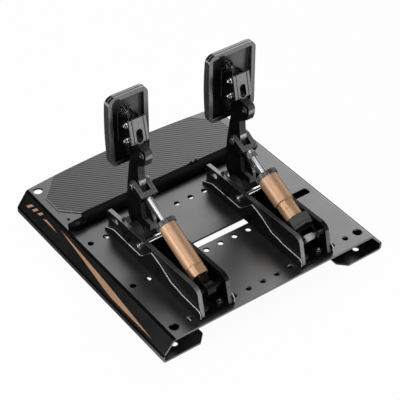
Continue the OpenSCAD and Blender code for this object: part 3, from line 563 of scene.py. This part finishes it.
def rod(name, centre, axis, radius, length, m, sides=24):
    """A closed cylinder on the base, along X (axis 0) or Z (axis 2)."""
    verts = []
    for end in (-0.5, 0.5):
        for k in range(sides):
            turn = 2 * math.pi * k / sides
            point = [radius * math.cos(turn), radius * math.sin(turn)]
            point.insert(axis, end * length)
            verts.append(tuple(c + p for c, p in zip(centre, point)))
    faces = [tuple(range(sides - 1, -1, -1)), tuple(range(sides, 2 * sides))]
    faces += [(k, (k + 1) % sides, (k + 1) % sides + sides, k + sides) for k in range(sides)]
    obj = mesh_piece(name, verts, faces, m, "base")
    for poly in obj.data.polygons[2:]:
        poly.use_smooth = True


def paint_stripe(name, side, outline, paint):
    """A thin closed plate of paint on a side wall, side 1 on the right and -1 on the left.

    Each point of the outline is in mm: along Y from the base plate's front edge, and down the
    wall from the fold.
    """
    down = Vector((SIDE_X - FOLD_X, 0.0, FOOT_Z - DECK_Z)).normalized()
    outward = Vector((-down.z, 0.0, down.x))
    verts = []
    for lift in mm(0.12, 0.02):
        for along, drop in outline:
            point = Vector((FOLD_X, FRONT_Y + along / 1000.0, DECK_Z)) + outward * lift
            point += down * (drop / 1000.0)
            verts.append((side * point.x, point.y, point.z))
    n = len(outline)
    faces = [tuple(range(n)), tuple(range(2 * n - 1, n - 1, -1))]
    faces += [(i, i + n, (i + 1) % n + n, (i + 1) % n) for i in range(n)]
    obj = mesh_piece(name, verts, faces, paint, "base")
    bm = bmesh.new()
    bm.from_mesh(obj.data)
    bmesh.ops.recalc_face_normals(bm, faces=bm.faces)
    bm.to_mesh(obj.data)
    bm.free()


def add_stripes():
    """A short dart, a long pointed stripe and three bars on each side wall."""
    paint = coated("stripe_paint", (0.42, 0.24, 0.15), rough=0.36, vary=0.10, bump=0.06)
    dart = [(-322, 13.2), (-316, 10.2), (-302, 10.8), (-282, 12.9), (-302, 12.9)]
    long_stripe = [(-282, 5.6), (-210, 9.2), (-143, 13.4), (-88, 18.0), (-32, 22.8), (-90, 23.2),
                   (-132, 23.2), (-150, 21.6), (-215, 13.2)]
    first_bar, bar_pitch = -366, 14
    for side, tag in ((1, "right"), (-1, "left")):
        paint_stripe("stripe_dart_" + tag, side, dart, paint)
        paint_stripe("stripe_long_" + tag, side, long_stripe, paint)
        for k in range(3):
            start = first_bar + bar_pitch * k
            top, bottom = 9.5 - k, 17.5 - 2 * k
            bar = [(start, bottom), (start + 8 - k, top), (start + 14 - k, top), (start + 6, bottom)]
            paint_stripe("stripe_bar_%d_%s" % (k, tag), side, bar, paint)


def add_trim():
    """A black strip that darkens the gap between heel panel and bar, with two small clips, and a stud
    on the deck.
    """
    trim = coated("black_trim", (0.0015, 0.0015, 0.0016), rough=0.6, bump=0.2, gloss=0.06)
    strip_left, strip_right, panel_gap, bar_gap = mm(-150, 138, 0.15, 0.05)
    strip_low, strip_high = beside(DECK_Z, 0.02, 0.7)
    block("bar_strip", (strip_left, PANEL_FRONT + panel_gap, strip_low),
          (strip_right, BAR_BACK - bar_gap, strip_high), trim)
    clip_back, clip_front = beside(PANEL_FRONT, -2.0, 3.5)
    clip_low, clip_high = beside(PANEL_TOP, 0.05, 1.4)
    for k, x in enumerate(mm(-70.8, -61.7)):
        clip_left, clip_right = beside(x, -2, 2)
        block("strip_clip_%d" % k, (clip_left, clip_back, clip_low),
              (clip_right, clip_front, clip_high), trim)
    stud_x, stud_y, stud_lift, radius, height = mm(159.6, -92.7, 0.4, 2.0, 0.7)
    rod("deck_stud", (stud_x, stud_y, DECK_Z + stud_lift), 2, radius, height, trim,
        sides=16)


def add_panel_rims():
    """A painted highlight along the slanted ends of the heel panel: a thin pale rim, from its own
    outline.
    """
    rim_highlight = coated("rim_highlight_paint", (0.21, 0.21, 0.21), rough=0.4, bump=0.05)
    width, least_run, ends_x, tolerance = mm(0.9, 4.0, 118.0, 0.1)
    levels = beside(PANEL_TOP, 0.02, 0.2)
    faces = [(0, 1, 2, 3), (7, 6, 5, 4), (1, 0, 4, 5), (2, 1, 5, 6), (3, 2, 6, 7), (0, 3, 7, 4)]
    corners = frame["nodes"]["heel_panel"].data.vertices
    for side, tag in ((1, "right"), (-1, "left")):
        path = sorted({(round(v.co.y, 5), round(v.co.x, 5)) for v in corners
                       if v.co.z > PANEL_TOP - tolerance and side * v.co.x > ends_x})
        for k, ((y0, x0), (y1, x1)) in enumerate(zip(path, path[1:])):
            run = Vector((x1 - x0, y1 - y0))
            if run.length < least_run:
                continue
            inward = Vector((-run.y, run.x)).normalized() * width
            if inward.x * side > 0:
                inward = -inward
            quad = [(x0, y0), (x1, y1), (x1 + inward.x, y1 + inward.y), (x0 + inward.x, y0 + inward.y)]
            if side < 0:
                quad.reverse()
            verts = [(x, y, z) for z in levels for x, y in quad]
            mesh_piece("panel_rim_%s_%d" % (tag, k), verts, faces, rim_highlight, "base")


def add_pin_spacer():
    """A bright spacer on the lower pin between the legs of the brake's fork."""
    zinc = coated("zinc_spacer", (0.62, 0.62, 0.62), rough=0.3, bump=0.03)
    radius, length = mm(5.2, 15.0)
    rod("brake_pin_spacer", PIVOTS["brake_damper_swing"], 0, radius, length, zinc)


def compress(node, body):
    """A copy of a spring or rubber stack inside a tube, riding the damper's body in place of the hidden
    original.
    """
    source = frame["nodes"][node].data
    obj = bpy.data.objects.new(node + "_soft", source.copy())
    bpy.context.scene.collection.objects.link(obj)
    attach(obj, body)
    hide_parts(node)
    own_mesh(obj)


add_stripes()
add_trim()
add_panel_rims()
add_pin_spacer()
compress("throttle_spring", "throttle_damper")
compress("brake_elastomers", "brake_damper")


# Floor, world and lights
def floor_white():
    """White to the camera, and dark in most mirror rays, so that black coats stay black."""
    m = Material("floor_white")
    m.tree.nodes.remove(m.bsdf)
    rays = m.add("ShaderNodeLightPath").outputs
    x, y = m.place("X"), m.place("Y")
    # In mirror rays it is white ahead and still brighter on the driver's right
    mirrored = m.most(m.span(y, 0.01, 1.0, 0.12, 0.21), m.span(x, 0.0, 1.6, 0.45, 0.60))
    # Under the plate it lies in shade, apart from a pool below the cross slot
    under = m.times(m.fall(m.math("ABSOLUTE", x), *mm(115, 120)),
                    m.band(y, mm(-190, -185), mm(158, 162)))
    behind_pool = m.fall(y, *beside(FRONT_Y, -258.5, -257.5))
    ahead_of_pool = m.rise(y, *beside(FRONT_Y, -110, -100))
    shade = m.times(under, m.most(behind_pool, ahead_of_pool))
    seen = m.most(m.times(rays["Is Camera Ray"], m.most(shade, 0.96)),
                  m.times(rays["Is Transmission Ray"], 0.92), rays["Is Glossy Ray"])
    level = m.mix(rays["Is Glossy Ray"], m.span(shade, 1.0, 0.004), mirrored, data_type="FLOAT")
    diffuse = m.add("ShaderNodeBsdfDiffuse", {"Color": (0.86, 0.86, 0.86)})
    glow = m.add("ShaderNodeEmission", {"Color": (1.0, 1.0, 1.0), "Strength": level})
    outlet = next(n for n in m.tree.nodes if n.type == "OUTPUT_MATERIAL")
    m.put(outlet.inputs["Surface"], m.blend(seen, diffuse, glow))
    return m


def add_floor(reach=6):
    """A square floor that reaches that many metres each way."""
    mesh = bpy.data.meshes.new("floor")
    corners = [(-reach, -reach, 0), (reach, -reach, 0), (reach, reach, 0), (-reach, reach, 0)]
    mesh.from_pydata(corners, [], [(0, 1, 2, 3)])
    mesh.materials.append(floor_white().mat)
    floor = bpy.data.objects.new("floor", mesh)
    bpy.context.scene.collection.objects.link(floor)


# Pale screens in the dark world, for reflections: one raised at the driver's left, one
# overhead, and one low, ahead and to the left. Each has a direction, the cosine to it where
# the screen starts, and a strength.
OVERHEAD = (0.45, 0.12, 0.885)
SCREENS = (
    ((-0.75, -0.50, 0.43), 0.78, 2.3),
    (OVERHEAD, 0.70, 1.5),
    ((-0.45, 0.88, 0.10), 0.84, 1.6),
)


def light_world():
    """White to camera and transmitted rays, and dark with the pale screens in it for others."""
    dim = 0.006
    world = bpy.data.worlds.new("studio")
    bpy.context.scene.world = world
    world.use_nodes = True
    world.node_tree.nodes.clear()
    w = Tree(world.node_tree)
    where = w.add("ShaderNodeTexCoord").outputs["Generated"]
    screens = []
    for direction, start, strength in SCREENS:
        lean = w.add("ShaderNodeVectorMath", {0: where, 1: Vector(direction).normalized()},
                     operation="DOT_PRODUCT")
        screens.append(w.span(lean.outputs["Value"], dim, strength, start, 1.0))
    total = functools.reduce(lambda a, b: w.math("ADD", a, b), screens)
    soft = w.add("ShaderNodeBackground", {"Color": (1.0, 1.0, 1.0), "Strength": total})
    white = w.add("ShaderNodeBackground", {"Color": (1.0, 1.0, 1.0), "Strength": 1.0})
    rays = w.add("ShaderNodeLightPath").outputs
    seen = w.most(rays["Is Camera Ray"], rays["Is Transmission Ray"])
    w.add("ShaderNodeOutputWorld", {"Surface": w.blend(seen, soft, white)})


def softbox(name, direction, distance, size, energy):
    """A rectangular lamp at a distance from its aim, a point a little above the plate."""
    aim = Vector((0.0, 0.0, 0.1))
    data = bpy.data.lights.new(name, "AREA")
    data.shape = "RECTANGLE"
    data.size, data.size_y = size
    data.energy = energy
    lamp = bpy.data.objects.new(name, data)
    bpy.context.scene.collection.objects.link(lamp)
    towards = Vector(direction).normalized()
    lamp.location = aim + towards * distance
    lamp.rotation_euler = towards.to_track_quat("Z", "Y").to_euler()


add_floor()
light_world()
softbox("top_soft", OVERHEAD, distance=2.2, size=(1.6, 1.6), energy=8.0)
softbox("side_soft", (0.95, -0.05, 0.28), distance=2.2, size=(0.7, 1.0), energy=16.0)
